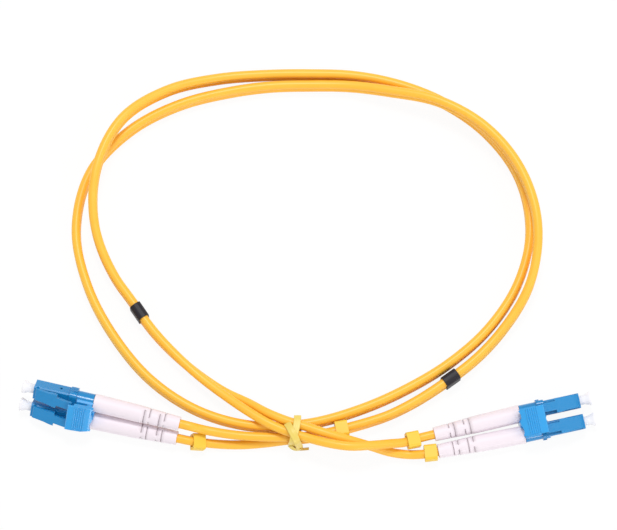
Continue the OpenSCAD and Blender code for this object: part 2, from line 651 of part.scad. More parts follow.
module housing_a1() { paint_blue() channel(left_at, -1) housing(-1); }
module housing_a2() { paint_blue() channel(left_at, 1) housing(1); }
module housing_b1() { paint_blue() channel(right_at, 1) housing(1); }
module housing_b2() { paint_blue() channel(right_at, -1) housing(-1); }
module latch_a1() { paint_blue() channel(left_at, -1) latch(); }
module latch_a2() { paint_blue() channel(left_at, 1) latch(); }
module latch_b1() { paint_blue() channel(right_at, 1) latch(); }
module latch_b2() { paint_blue() channel(right_at, -1) latch(); }
module ferrule_a1() { paint_white() channel(left_at, -1) ferrule(); }
module ferrule_a2() { paint_white() channel(left_at, 1) ferrule(); }
module ferrule_b1() { paint_white() channel(right_at, 1) ferrule(); }
module ferrule_b2() { paint_white() channel(right_at, -1) ferrule(); }
module flange_a1() { paint_brass() channel(left_at, -1) flange(); }
module flange_a2() { paint_brass() channel(left_at, 1) flange(); }
module flange_b1() { paint_brass() channel(right_at, 1) flange(); }
module flange_b2() { paint_brass() channel(right_at, -1) flange(); }
module spring_a1() { paint_steel() channel(left_at, -1) spring(); }
module spring_a2() { paint_steel() channel(left_at, 1) spring(); }
module spring_b1() { paint_steel() channel(right_at, 1) spring(); }
module spring_b2() { paint_steel() channel(right_at, -1) spring(); }
module post_a1() { paint_steel() channel(left_at, -1) post(); }
module post_a2() { paint_steel() channel(left_at, 1) post(); }
module post_b1() { paint_steel() channel(right_at, 1) post(); }
module post_b2() { paint_steel() channel(right_at, -1) post(); }
module crimp_a1() { paint_brass() channel(left_at, -1) crimp(); }
module crimp_a2() { paint_brass() channel(left_at, 1) crimp(); }
module crimp_b1() { paint_brass() channel(right_at, 1) crimp(); }
module crimp_b2() { paint_brass() channel(right_at, -1) crimp(); }
module fibre_a1() { paint_white() channel(left_at, -1) fibre(); }
module fibre_a2() { paint_white() channel(left_at, 1) fibre(); }
module fibre_b1() { paint_white() channel(right_at, 1) fibre(); }
module fibre_b2() { paint_white() channel(right_at, -1) fibre(); }
module boot_a1() { paint_white() boot_axis(left_at, -1) boot(0); }
module boot_a2() { paint_white() boot_axis(left_at, 1) boot(1); }
module boot_b1() { paint_white() boot_axis(right_at, 1) boot(0); }
module boot_b2() { paint_white() boot_axis(right_at, -1) boot(1); }
module cap_a1() { paint_cap() channel(left_at, -1) cap(); }
module cap_a2() { paint_cap() channel(left_at, 1) cap(); }
module cap_b1() { paint_cap() channel(right_at, 1) cap(); }
module cap_b2() { paint_cap() channel(right_at, -1) cap(); }
module clip_a() { paint_blue() on_plug(left_at) clip(); }
module clip_b() { paint_blue() on_plug(right_at) clip(); }
module trigger_a() { paint_blue() on_plug(left_at) trigger(); }
module trigger_b() { paint_blue() on_plug(right_at) trigger(); }
module ring_a1() { paint_yellow() on_route(route_a1, 11, 0.5, -5) ring(); }
module ring_a2() { paint_yellow() on_route(route_a2, 3, 0.5, 5) ring(); }
module ring_b1() { paint_yellow() on_route(route_b1, 3, 0.5, -5) ring(); }
module ring_b2() { paint_yellow() on_route(route_b2, 2, 0.56, -5) ring(); }
module sleeve_a() { paint_dark() sleeve(split_1); }
module sleeve_b() { paint_dark() sleeve(split_2); }
module tie_band() { paint_yellow() tie(); }
module leg_1() { leg(route_a1); }
module leg_2() { leg(route_a2); }
module leg_3() { leg(route_b1); }
module leg_4() { leg(route_b2); }

housing_a1();
housing_a2();
housing_b1();
housing_b2();
latch_a1();
latch_a2();
latch_b1();
latch_b2();
ferrule_a1();
ferrule_a2();
ferrule_b1();
ferrule_b2();
flange_a1();
flange_a2();
flange_b1();
flange_b2();
spring_a1();
spring_a2();
spring_b1();
spring_b2();
post_a1();
post_a2();
post_b1();
post_b2();
crimp_a1();
crimp_a2();
crimp_b1();
crimp_b2();
fibre_a1();
fibre_a2();
fibre_b1();
fibre_b2();
boot_a1();
boot_a2();
boot_b1();
boot_b2();
cap_a1();
cap_a2();
cap_b1();
cap_b2();
clip_a();
clip_b();
trigger_a();
trigger_b();
ring_a1();
ring_a2();
ring_b1();
ring_b2();
sleeve_a();
sleeve_b();
tie_band();  // tie
cord();
leg_1();  // leg_a1
leg_2();  // leg_a2
leg_3();  // leg_b1
leg_4();  // leg_b2
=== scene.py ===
import json
import math

import bmesh
import bpy
import numpy as np
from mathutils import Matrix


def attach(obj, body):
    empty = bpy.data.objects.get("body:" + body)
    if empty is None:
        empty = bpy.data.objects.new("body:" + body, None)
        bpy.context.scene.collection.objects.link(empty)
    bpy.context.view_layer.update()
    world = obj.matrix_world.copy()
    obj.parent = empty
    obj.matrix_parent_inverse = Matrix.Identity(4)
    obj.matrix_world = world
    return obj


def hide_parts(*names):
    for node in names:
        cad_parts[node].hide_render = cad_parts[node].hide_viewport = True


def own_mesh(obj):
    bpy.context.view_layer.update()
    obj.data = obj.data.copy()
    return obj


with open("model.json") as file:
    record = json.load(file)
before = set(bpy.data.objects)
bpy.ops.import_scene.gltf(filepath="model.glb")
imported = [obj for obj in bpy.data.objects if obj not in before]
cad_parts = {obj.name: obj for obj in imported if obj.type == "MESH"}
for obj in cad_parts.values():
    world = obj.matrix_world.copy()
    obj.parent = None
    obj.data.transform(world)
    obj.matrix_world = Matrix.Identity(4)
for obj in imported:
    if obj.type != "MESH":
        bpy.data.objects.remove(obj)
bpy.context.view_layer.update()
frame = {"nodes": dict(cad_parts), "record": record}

MM = 0.001


# ---- Camera ------------------------------------------------------------------------------------

# Aim, distance and clipping in metres, lens and sensor in millimetres.
LOOK_AT = (0.221 * MM, 48.332 * MM, 0.0)
ELEVATION = math.radians(75)
DISTANCE = 1.2
LENS = 234.27
SENSOR = 36.0
CLIP_NEAR, CLIP_FAR = 0.05, 20.0


def add_camera():
    """A long lens above the front of the object, tilted 15 degrees from straight down."""
    data = bpy.data.cameras.new("camera")
    data.sensor_fit = "HORIZONTAL"
    data.sensor_width = SENSOR
    data.lens = LENS
    data.clip_start = CLIP_NEAR
    data.clip_end = CLIP_FAR
    cam = bpy.data.objects.new("camera", data)
    bpy.context.scene.collection.objects.link(cam)
    back = (0.0, -math.cos(ELEVATION), math.sin(ELEVATION))
    cam.location = [LOOK_AT[i] + DISTANCE * back[i] for i in range(3)]
    cam.rotation_euler = (math.pi / 2 - ELEVATION, 0.0, 0.0)
    bpy.context.scene.camera = cam


add_camera()


# ---- Routes of the cord and its legs, in millimetres ----------------------------------------------

# Where the frame's origin lies in the coordinates of the routes.
CENTRE = np.array([-0.521, -1.532, 0.0])
# The solid cable has eight sides: radius of its corners and of its flats, and half the height of the cord.
CABLE_R = 1.4
FLAT = CABLE_R * math.cos(math.radians(22.5))
HALF_H = CABLE_R + FLAT
# Radius of the round jackets, between the two.
LOBE_R = 1.345
# Spacing of a plug's channels, length of a boot and how far it leans towards the other one.
PITCH = 6.25
BOOT_L = 26.0
TOE = math.radians(1.25)
# A leg's start and a second point, both behind the boot's front face, and its straight run past the boot.
LEG_FROM = 6.6
LEG_SECOND = 15.0
LEAD_OUT = 4.0
# At a split: distance of the ends from it, and straight run to each side.
TOUCH = 0.03
SPLIT_RUN = 2 * CABLE_R + 1

# Plugs: place, heading and roll.
LEFT_AT = ((-38.6, -5.2, 5.45), 166.8, -45.0)
RIGHT_AT = ((37.3, -8.37, 3.5), 12.6, 10.0)
# Middle of the coil, and for each point of its turns the bearing from there, the radius and the lift.
COIL_MID = (0.0, 57.0)
TURNS = [
    (-30, 65.0, 0.5), (-15, 67.8, 3.4), (0, 67.8, 6.0), (15, 65.2, 6.2), (30, 60.5, 6.2), (45, 54.4, 5.8),
    (60, 48.7, 3.4), (75, 46.2, 0.6), (90, 45.0, 0), (105, 46.2, 0), (120, 49.4, 0), (135, 55.1, 0),
    (150, 62.0, 0), (165, 68.0, 0), (180, 69.7, 0), (195, 68.3, 0), (210, 66.7, 0), (225, 65.9, 0),
    (240, 64.6, 0.1), (255, 62.5, 0.6), (270, 59.6, 0.6), (285, 57.3, 0.3), (300, 56.8, 0), (315, 58.4, 0),
    (330, 61.3, 0), (345, 64.3, 0), (360, 65.9, 0), (375, 64.8, 0), (390, 61.0, 0), (405, 56.4, 0),
    (420, 52.4, 0), (435, 49.7, 0), (450, 48.5, 0), (465, 50.0, 0), (480, 54.3, 0.4), (495, 60.3, 2.6),
    (510, 65.0, 6.0), (525, 65.8, 6.4), (540, 63.9, 3.6), (555, 59.7, 0.9),
]
# Splits of the cord: place, heading of travel and lift.
SPLIT_1 = ((41.7, 11.0), 36.0, 0.45)
SPLIT_2 = ((-50.5, 31.3), -56.0, 0.45)
# Legs: plug, side of the plug, split, side of the split, height there, and the points between.
LEGS = {
    "leg_a1": (LEFT_AT, -1, SPLIT_1, -1, FLAT + 2 * CABLE_R, [
        (-33, -4.6, 6.4), (-27, -5.7, 5.5), (-20.5, -6.5, 5.0), (-13, -6.9, 4.85), (-6, -6.9, 4.85),
        (-1, -6.7, 4.85), (3, -6.1, 4.9), (7, -5.2, 4.9), (12, -3.8, 4.8), (17, -2.3, 4.4), (23, -0.2, 4.2),
        (30, 3.3, 4.3)]),
    "leg_a2": (LEFT_AT, 1, SPLIT_1, -1, FLAT, [
        (-30.6, -8.1, 2.1), (-26, -8.4, 1.6), (-20.5, -8.5, 1.4), (-13, -8.0, 1.6), (-6, -7.2, 1.95),
        (-1, -6.9, 1.95), (3, -6.2, 1.7), (7, -5.1, 1.4), (12, -3.6, 1.35), (17, -2.1, 1.35), (23, 0, 1.35),
        (30, 3.4, 1.4)]),
    "leg_b1": (RIGHT_AT, 1, SPLIT_2, 1, FLAT + 2 * CABLE_R, [
        (28, -8.44, 4.6), (23.5, -9.3, 6.6), (18, -10.3, 8.9), (12, -10.8, 10), (4, -9.4, 9.4),
        (-1, -7.8, 8.4), (-6, -6.1, 7.95), (-12, -3.5, 7.9), (-18, 0.3, 7.0), (-25, 5.5, 5.4),
        (-32, 11.1, 4.4), (-39, 17.5, 4.3)]),
    "leg_b2": (RIGHT_AT, -1, SPLIT_2, 1, FLAT, [
        (29, -11.6, 2.2), (24, -11.1, 3.0), (18, -9.8, 5.4), (12, -8.5, 7.6), (4, -6.3, 8.5), (-1, -4.5, 8.1),
        (-6, -2.9, 7.85), (-12, -0.3, 6.9), (-18, 3.4, 4.6), (-25, 7.2, 2.6), (-32, 12.1, 1.5),
        (-39, 17.9, 1.4)]),
}


def turned(v, roll, heading):
    """Point v rolled about X and then turned about Z, both in degrees."""
    a, b = math.radians(roll), math.radians(heading)
    x, y, z = v[0], v[1] * math.cos(a) - v[2] * math.sin(a), v[1] * math.sin(a) + v[2] * math.cos(a)
    return np.array([x * math.cos(b) - y * math.sin(b), x * math.sin(b) + y * math.cos(b), z])


def boot_point(at, side, s):
    """Point on a boot's axis, s behind its front face."""
    v = (BOOT_L - s * math.cos(TOE), side * (PITCH / 2 - s * math.sin(TOE)), 0.0)
    return np.array(at[0]) + turned(v, at[2], at[1])


def split_point(split, along, z):
    """Point on the line of travel through a split of the cord."""
    a = math.radians(split[1])
    return np.array([split[0][0] + along * math.cos(a), split[0][1] + along * math.sin(a), z + split[2]])


def cord_route():
    """Points of the figure-eight cord from one split to the other."""
    rows = [split_point(SPLIT_1, TOUCH, HALF_H), split_point(SPLIT_1, SPLIT_RUN, HALF_H)]
    for bearing, radius, lift in TURNS:
        a = math.radians(bearing)
        rows.append(np.array([COIL_MID[0] + radius * math.cos(a), COIL_MID[1] + radius * math.sin(a),
                              HALF_H + lift]))
    rows += [split_point(SPLIT_2, -SPLIT_RUN, HALF_H), split_point(SPLIT_2, -TOUCH, HALF_H)]
    return np.array(rows)


def leg_route(at, side, split, way, z, middle):
    """Points of one leg from inside its boot to the split."""
    rows = [boot_point(at, side, s) for s in (LEG_FROM, LEG_SECOND, BOOT_L, BOOT_L + LEAD_OUT)]
    rows += [np.array(p, float) for p in middle]
    rows += [split_point(split, way * SPLIT_RUN, z), split_point(split, way * TOUCH, z)]
    return np.array(rows)


def slopes(p):
    """Direction of a curve at each point: the two chords there, each weighted by the other's length."""
    d = np.diff(p, axis=0)
    n = np.linalg.norm(d, axis=1)[:, None]
    m = np.empty_like(p)
    m[0], m[-1] = d[0] / n[0], d[-1] / n[-1]
    m[1:-1] = (d[:-1] / n[:-1] * n[1:] + d[1:] / n[1:] * n[:-1]) / (n[:-1] + n[1:])
    return m


def smooth(p, n):
    """Points of p with n - 1 more in each stretch, on a cubic curve with the slopes above."""
    p = np.asarray(p, float)
    m = slopes(p)
    out = []
    for i in range(len(p) - 1):
        d = np.linalg.norm(p[i + 1] - p[i])
        t = (np.arange(n) / n)[:, None]
        out.append((2 * t**3 - 3 * t**2 + 1) * p[i] + (t**3 - 2 * t**2 + t) * d * m[i]
                   + (3 * t**2 - 2 * t**3) * p[i + 1] + (t**3 - t**2) * d * m[i + 1])
    out.append(p[-1:])
    return np.vstack(out) - CENTRE


def unit(v):
    """Vectors of the same directions, each 1 long."""
    return v / np.linalg.norm(v, axis=-1, keepdims=True)


def arc_lengths(p):
    """Distance along a line of points at each point."""
    return np.concatenate([[0.0], np.cumsum(np.linalg.norm(np.diff(p, axis=0), axis=1))])


# ---- Mesh building ---------------------------------------------------------------------------------


UV_PER_MM = 0.1
STRIP_SIDES = 40
RIB_SPREAD = 0.22


def mesh_object(name, points, faces, material, uv):
    """Smooth mesh at the origin, with points and uv in millimetres and one uv pair per point."""
    mesh = bpy.data.meshes.new(name)
    mesh.from_pydata((np.asarray(points) * MM).tolist(), [], faces)
    mesh.validate()
    layer = mesh.uv_layers.new(name="UVMap")
    loops = np.empty(len(mesh.loops), np.int32)
    mesh.loops.foreach_get("vertex_index", loops)
    layer.data.foreach_set("uv", np.asarray(uv * UV_PER_MM, np.float32)[loops].ravel())
    mesh.polygons.foreach_set("use_smooth", [True] * len(mesh.polygons))
    mesh.materials.append(material)
    obj = bpy.data.objects.new(name, mesh)
    bpy.context.scene.collection.objects.link(obj)
    return obj


def carried(path, section, wide, high):
    """Points of a section at every point of a path: (a, b) lies at path + a * wide + b * high."""
    return (path[:, None, :] + wide[:, None, :] * section[None, :, 0, None]
            + high[:, None, :] * section[None, :, 1, None]).reshape(-1, 3)


def tube(name, path, section, material):
    """Skin of a closed section carried along a path, with its side vector level and its ends closed."""
    m, n = len(path), len(section)
    t = unit(slopes(path))
    side = unit(np.cross([0.0, 0.0, 1.0], t))
    pts = carried(path, section, side, np.cross(t, side))
    faces = [[i * n + j, (i + 1) * n + j, (i + 1) * n + (j + 1) % n, i * n + (j + 1) % n]
             for i in range(m - 1) for j in range(n)]
    faces.append(list(range(n)))
    faces.append([(m - 1) * n + j for j in range(n - 1, -1, -1)])
    along = np.repeat(arc_lengths(path), n)
    around = np.tile(arc_lengths(np.vstack([section, section[:1]]))[:n], m)
    return mesh_object(name, pts, faces, material, np.stack([along, around], 1))


def ribbon(name, path, across, section, material):
    """Skin of a closed section carried along a path, with its width kept near the given direction."""
    m, n = len(path), len(section)
    t = unit(slopes(path))
    normal = unit(np.cross(t, across))
    pts = carried(path, section, np.cross(normal, t), normal)
    faces = [[i * n + j, i * n + (j + 1) % n, (i + 1) * n + (j + 1) % n, (i + 1) * n + j]
             for i in range(m - 1) for j in range(n)]
    faces.append(list(range(n - 1, -1, -1)))
    faces.append([(m - 1) * n + j for j in range(n)])
    along = np.repeat(arc_lengths(path), n)
    obj = mesh_object(name, pts, faces, material, np.stack([along, np.tile(section[:, 0], m)], 1))
    closed_outwards(obj.data)
    return obj


def closed_outwards(mesh):
    """Turns every face of a closed mesh outwards."""
    bm = bmesh.new()
    bm.from_mesh(mesh)
    bmesh.ops.recalc_face_normals(bm, faces=bm.faces)
    bm.to_mesh(mesh)
    bm.free()


def strip_section(width, thickness, rib):
    """Flat strip with a low rib along the middle of both faces.

    The powers set its points closer at the edges and round them over a short stretch."""
    a = np.linspace(0, 2 * math.pi, STRIP_SIDES + 1)[:-1]
    x = width / 2 * np.sign(np.cos(a)) * np.abs(np.cos(a)) ** 0.7
    edge = np.sqrt(np.clip(1 - (2 * x / width) ** 8, 0, 1))
    y = np.sign(np.sin(a)) * (thickness / 2 * edge + rib * np.exp(-((x / RIB_SPREAD) ** 2)))
    return np.stack([x, y], 1)


def circle_section(r, n):
    """Circle of n points."""
    a = np.arange(n) * 2 * math.pi / n
    return np.stack([r * np.cos(a), r * np.sin(a)], 1)


def eight_section(r, n, web):
    """Two circles one over the other, joined by a thin web of the given half width."""
    cut = math.asin(web / r)
    a = np.linspace(-math.pi / 2 + cut, 3 * math.pi / 2 - cut, n)
    upper = np.stack([r * np.cos(a), r + r * np.sin(a)], 1)
    return np.vstack([upper, -upper])


# ---- Materials ---------------------------------------------------------------------------------------


# How many times broader the mottle is than the grain, and the height of the grain in metres.
MOTTLE_TO_GRAIN = 6.0
GRAIN_HEIGHT = 0.00005


def linear(hex_colour):
    """sRGB hex text to linear red, green, blue, alpha."""
    out = []
    for i in (0, 2, 4):
        c = int(hex_colour[i:i + 2], 16) / 255
        out.append(c / 12.92 if c <= 0.04045 else ((c + 0.055) / 1.055) ** 2.4)
    return (*out, 1.0)


def grain_and_edge_highlight_group():
    """Shared node group: a mottled value round 1, a mask that is 1 along edges for painted highlights and a
    fine surface normal.

    Two noises give the mottle and the height of the grain. The normal is that of edges rounded to the given
    radius, and the mask is how far it turns away from the flat one."""
    tree = bpy.data.node_groups.new("grain_and_edge_highlight", "ShaderNodeTree")
    for name, low in (("Scale", 400.0), ("Strength", 0.1), ("Round", 0.0001)):
        tree.interface.new_socket(name, in_out="INPUT", socket_type="NodeSocketFloat").default_value = low
    tree.interface.new_socket("Mottle", in_out="OUTPUT", socket_type="NodeSocketFloat")
    tree.interface.new_socket("Edge_highlight", in_out="OUTPUT", socket_type="NodeSocketFloat")
    tree.interface.new_socket("Normal", in_out="OUTPUT", socket_type="NodeSocketVector")
    nodes, links = tree.nodes, tree.links
    source, sink = nodes.new("NodeGroupInput"), nodes.new("NodeGroupOutput")
    coords = nodes.new("ShaderNodeTexCoord")
    broad, fine = nodes.new("ShaderNodeTexNoise"), nodes.new("ShaderNodeTexNoise")
    broad.inputs["Detail"].default_value = 3.0
    fine.inputs["Detail"].default_value = 2.0
    divide = nodes.new("ShaderNodeMath")
    divide.operation = "DIVIDE"
    divide.inputs[1].default_value = MOTTLE_TO_GRAIN
    links.new(source.outputs["Scale"], divide.inputs[0])
    links.new(divide.outputs[0], broad.inputs["Scale"])
    links.new(source.outputs["Scale"], fine.inputs["Scale"])
    for noise in (broad, fine):
        links.new(coords.outputs["Object"], noise.inputs["Vector"])
    rounded = nodes.new("ShaderNodeBevel")
    rounded.samples = 6
    links.new(source.outputs["Round"], rounded.inputs["Radius"])
    bump = nodes.new("ShaderNodeBump")
    bump.inputs["Distance"].default_value = GRAIN_HEIGHT
    links.new(source.outputs["Strength"], bump.inputs["Strength"])
    links.new(fine.outputs["Fac"], bump.inputs["Height"])
    links.new(rounded.outputs["Normal"], bump.inputs["Normal"])
    geometry = nodes.new("ShaderNodeNewGeometry")
    turn = nodes.new("ShaderNodeVectorMath")
    turn.operation = "DOT_PRODUCT"
    links.new(geometry.outputs["Normal"], turn.inputs[0])
    links.new(rounded.outputs["Normal"], turn.inputs[1])
    mask = nodes.new("ShaderNodeMapRange")
    for socket, value in (("From Min", 0.995), ("From Max", 0.93), ("To Min", 0.0), ("To Max", 1.0)):
        mask.inputs[socket].default_value = value
    links.new(turn.outputs["Value"], mask.inputs["Value"])
    links.new(broad.outputs["Fac"], sink.inputs["Mottle"])
    links.new(mask.outputs["Result"], sink.inputs["Edge_highlight"])
    links.new(bump.outputs["Normal"], sink.inputs["Normal"])
    return tree


def crevice_shade_group():
    """Shared node group: a mask for painted shade that is 1 deep in slits and narrow gaps, from how much of
    the sky a spot sees within the given reach."""
    tree = bpy.data.node_groups.new("crevice_shade", "ShaderNodeTree")
    tree.interface.new_socket("Reach", in_out="INPUT", socket_type="NodeSocketFloat").default_value = 0.0005
    tree.interface.new_socket("Depth", in_out="OUTPUT", socket_type="NodeSocketFloat")
    nodes, links = tree.nodes, tree.links
    source, sink = nodes.new("NodeGroupInput"), nodes.new("NodeGroupOutput")
    sky = nodes.new("ShaderNodeAmbientOcclusion")
    sky.samples = 8
    sky.only_local = True
    links.new(source.outputs["Reach"], sky.inputs["Distance"])
    span = nodes.new("ShaderNodeMapRange")
    for socket, value in (("From Min", 0.8), ("From Max", 0.45), ("To Min", 0.0), ("To Max", 1.0)):
        span.inputs[socket].default_value = value
    links.new(sky.outputs["AO"], span.inputs["Value"])
    links.new(span.outputs["Result"], sink.inputs["Depth"])
    return tree


GRAIN = grain_and_edge_highlight_group()
CREVICE_SHADE = crevice_shade_group()


def blend(mat, colour, other, factor):
    """Socket of a colour mixed towards another one by a socket."""
    mix = mat.node_tree.nodes.new("ShaderNodeMix")
    mix.data_type = "RGBA"
    if isinstance(colour, tuple):
        mix.inputs["A"].default_value = colour
    else:
        mat.node_tree.links.new(colour, mix.inputs["A"])
    mix.inputs["B"].default_value = other
    mat.node_tree.links.new(factor, mix.inputs["Factor"])
    return mix.outputs["Result"]


def scaled(mat, socket, factor):
    """A mask times a number."""
    node = mat.node_tree.nodes.new("ShaderNodeMath")
    node.operation = "MULTIPLY"
    node.inputs[1].default_value = factor
    mat.node_tree.links.new(socket, node.inputs[0])
    return node.outputs[0]


def plastic(name, colour, second, rough, grain=1500.0, strength=0.15, coat=0.0, specular=0.5, soft=0.0001,
            edge=None, gap_shade=None, **more):
    """Plastic or metal: two near colours mixed by the mottle, which also moves the roughness a little.

    edge is a lighter colour and a share, painted along edges as a highlight; slit a darker colour, a share
    and a reach, painted into narrow gaps as shade."""
    mat = bpy.data.materials.new(name)
    mat.use_nodes = True
    nodes, links = mat.node_tree.nodes, mat.node_tree.links
    shader = nodes["Principled BSDF"]
    group = nodes.new("ShaderNodeGroup")
    group.node_tree = GRAIN
    group.inputs["Scale"].default_value = grain
    group.inputs["Strength"].default_value = strength
    group.inputs["Round"].default_value = soft
    out = blend(mat, linear(colour), linear(second), group.outputs["Mottle"])
    # Painted highlight: a lighter colour mixed in along edges.
    if edge:
        out = blend(mat, out, linear(edge[0]), scaled(mat, group.outputs["Edge_highlight"], edge[1]))
    # Painted shade: a darker colour mixed in where slits and narrow gaps see little sky.
    if gap_shade:
        gap = nodes.new("ShaderNodeGroup")
        gap.node_tree = CREVICE_SHADE
        gap.inputs["Reach"].default_value = gap_shade[2]
        out = blend(mat, out, linear(gap_shade[0]), scaled(mat, gap.outputs["Depth"], gap_shade[1]))
    links.new(out, shader.inputs["Base Color"])
    span = nodes.new("ShaderNodeMapRange")
    span.inputs["To Min"].default_value = rough[0]
    span.inputs["To Max"].default_value = rough[1]
    links.new(group.outputs["Mottle"], span.inputs["Value"])
    links.new(span.outputs["Result"], shader.inputs["Roughness"])
    links.new(group.outputs["Normal"], shader.inputs["Normal"])
    shader.inputs["Coat Weight"].default_value = coat
    shader.inputs["Coat Roughness"].default_value = 0.2
    shader.inputs["Specular IOR Level"].default_value = specular
    for key, value in more.items():
        shader.inputs[key.replace("_", " ")].default_value = value
    return mat


# Painted light in the colours below: edge colours are painted highlights along edges, slit colours painted
# shade in slits, narrow gaps and the groove between the cord's lobes.
JACKET = plastic("jacket", "FCB930", "FDC23C", (0.4, 0.5), 1300.0, 0.08, 0.1, gap_shade=("FF9410", 0.3, 0.001))
BLUE = plastic("blue", "0E82C0", "188ACA", (0.18, 0.26), 1100.0, 0.05, 0.25, 0.4, 0.00012,
               edge=("7CC8F2", 0.35), gap_shade=("0A4F8C", 0.35, 0.0005))
BLUE_CLIP = plastic("blue_clip", "279ADF", "33A3E6", (0.18, 0.26), 1100.0, 0.05, 0.25, 0.4, 0.00012,
                    edge=("8CD0F5", 0.3), gap_shade=("1668AA", 0.3, 0.0004))
BOOT = plastic("boot", "ECE1E8", "F1E6ED", (0.45, 0.55), 1600.0, 0.08, gap_shade=("948488", 0.7, 0.0004))
CAP = plastic("cap", "FAF8FF", "FFFEFF", (0.3, 0.4), 900.0, 0.03, 0.0, 0.4, Transmission_Weight=0.1, IOR=1.4)
RING = plastic("ring", "F0C432", "F4CB3E", (0.4, 0.5), 1300.0, 0.1, gap_shade=("B98A1A", 0.6, 0.0006))
SLEEVE = plastic("sleeve", "1E1B22", "27232A", (0.4, 0.55), 1800.0, 0.2, 0.0, 0.3, 0.0002,
                 edge=("6E6874", 0.15))
TIE = plastic("tie", "E6CA5C", "EBD26C", (0.35, 0.45), 1300.0, 0.08, gap_shade=("A8923C", 0.5, 0.0006))
# The tail's darker, browner yellow is partly painted shade on the strip seen on edge and partly its browner
# back side.
TIE_TAIL = plastic("tie_tail", "C79B33", "D3A940", (0.4, 0.5), 1300.0, 0.1)
STEEL = plastic("steel", "B8BABD", "C6C8CB", (0.25, 0.35), 1500.0, 0.05, 0.0, 0.5, Metallic=1.0)
METAL = plastic("metal", "AEB0B4", "BCBEC2", (0.3, 0.4), 1500.0, 0.05, 0.0, 0.5, Metallic=1.0)
BRASS = plastic("brass", "CDB56E", "D8C07A", (0.25, 0.35), 1500.0, 0.05, 0.0, 0.5, Metallic=1.0)
CRIMP = plastic("crimp", "B9AE95", "C6BBA2", (0.3, 0.42), 1500.0, 0.05, 0.0, 0.5, Metallic=1.0)
CERAMIC = plastic("ceramic", "F4F3EF", "FAF9F6", (0.12, 0.2), 1500.0, 0.02)
BUFFER = plastic("buffer", "EDEBE4", "F3F1EA", (0.4, 0.5), 1500.0, 0.05)

FINISH = {
    "housing": BLUE, "latch": BLUE, "trigger": BLUE_CLIP, "clip": BLUE_CLIP, "boot": BOOT, "cap": CAP,
    "ring": RING, "sleeve": SLEEVE, "tie": TIE, "spring": STEEL, "post": METAL, "flange": BRASS,
    "crimp": CRIMP, "ferrule": CERAMIC, "fibre": BUFFER, "cord": JACKET, "leg": JACKET,
}
SLOTS = {
    "housing": "blue_plastic", "latch": "blue_plastic", "trigger": "blue_plastic", "clip": "blue_plastic",
    "boot": "white_boot", "cap": "cap_plastic", "ring": "yellow_ring", "sleeve": "dark_sleeve",
}


# Distance in metres at which points are merged, angle under which faces count as one flat face, angles over
# which edges stay sharp, and how much large faces set the normals, from 1 to 100.
MERGE = 1e-6
FLAT_ANGLE = math.radians(0.3)
SHARP_BOXY, SHARP_ROUND = math.radians(11), math.radians(32)
LARGE_FACE_WEIGHT = 60


def joined(name, part, material, boxy):
    """Copy of a solid with its triangles joined, so that round faces shade smoothly and real edges stay.

    In a boxy one the flat faces become single polygons, and larger faces set the normals more."""
    bm = bmesh.new()
    bm.from_mesh(part.data)
    bmesh.ops.remove_doubles(bm, verts=bm.verts, dist=MERGE)
    if boxy:
        bmesh.ops.dissolve_limit(bm, angle_limit=FLAT_ANGLE, verts=bm.verts, edges=bm.edges)
    mesh = bpy.data.meshes.new(name + "_skin")
    bm.to_mesh(mesh)
    bm.free()
    mesh.polygons.foreach_set("use_smooth", [True] * len(mesh.polygons))
    mesh.set_sharp_from_angle(angle=SHARP_BOXY if boxy else SHARP_ROUND)
    mesh.materials.clear()
    mesh.materials.append(material)
    obj = bpy.data.objects.new(name + "_skin", mesh)
    bpy.context.scene.collection.objects.link(obj)
    if boxy:
        even = obj.modifiers.new("even_normals", "WEIGHTED_NORMAL")
        even.keep_sharp = True
        even.weight = LARGE_FACE_WEIGHT
    body = next((b for b, names in frame["record"]["behaviour"]["bodies"].items() if name in names), "root")
    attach(obj, body)
    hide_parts(name)
    return obj


for node_name, node_obj in frame["nodes"].items():
    kind = node_name.split("_")[0]
    for slot in node_obj.material_slots:
        slot.material = FINISH[kind]
    if kind in SLOTS:
        joined(node_name, node_obj, FINISH[kind],
                                  boxy=SLOTS[kind] == "blue_plastic")


# Each spring shortens towards its fixed end as its ferrule gives way. Here each one that the record lists as
# deforming gets a smooth steel copy with a mesh of its own.
for joint in frame["record"]["behaviour"]["joints"]:
    for soft in joint.get("deforming_nodes", []):
        spring = joined(soft["node"], frame["nodes"][soft["node"]], STEEL, boxy=False)
        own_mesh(spring)


# ---- Cord and legs -------------------------------------------------------------------------------------

# Steps between two points of a route, points of a lobe's and of a leg's section, and half the web's width.
CORD_STEPS = 12
LEG_STEPS = 10
TIE_STEPS = 6
LOBE_SIDES = 21
LEG_SIDES = 24
WEB = 0.36

cord_path = smooth(cord_route(), CORD_STEPS)
cord = tube("cord_jacket", cord_path, eight_section(LOBE_R, LOBE_SIDES, WEB), JACKET)
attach(cord, "root")
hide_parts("cord")

for leg_name, spec in LEGS.items():
    leg_path = smooth(leg_route(*spec), LEG_STEPS)
    leg = tube("jacket_" + leg_name, leg_path, circle_section(LOBE_R, LEG_SIDES), JACKET)
    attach(leg, "root")
    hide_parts(leg_name)

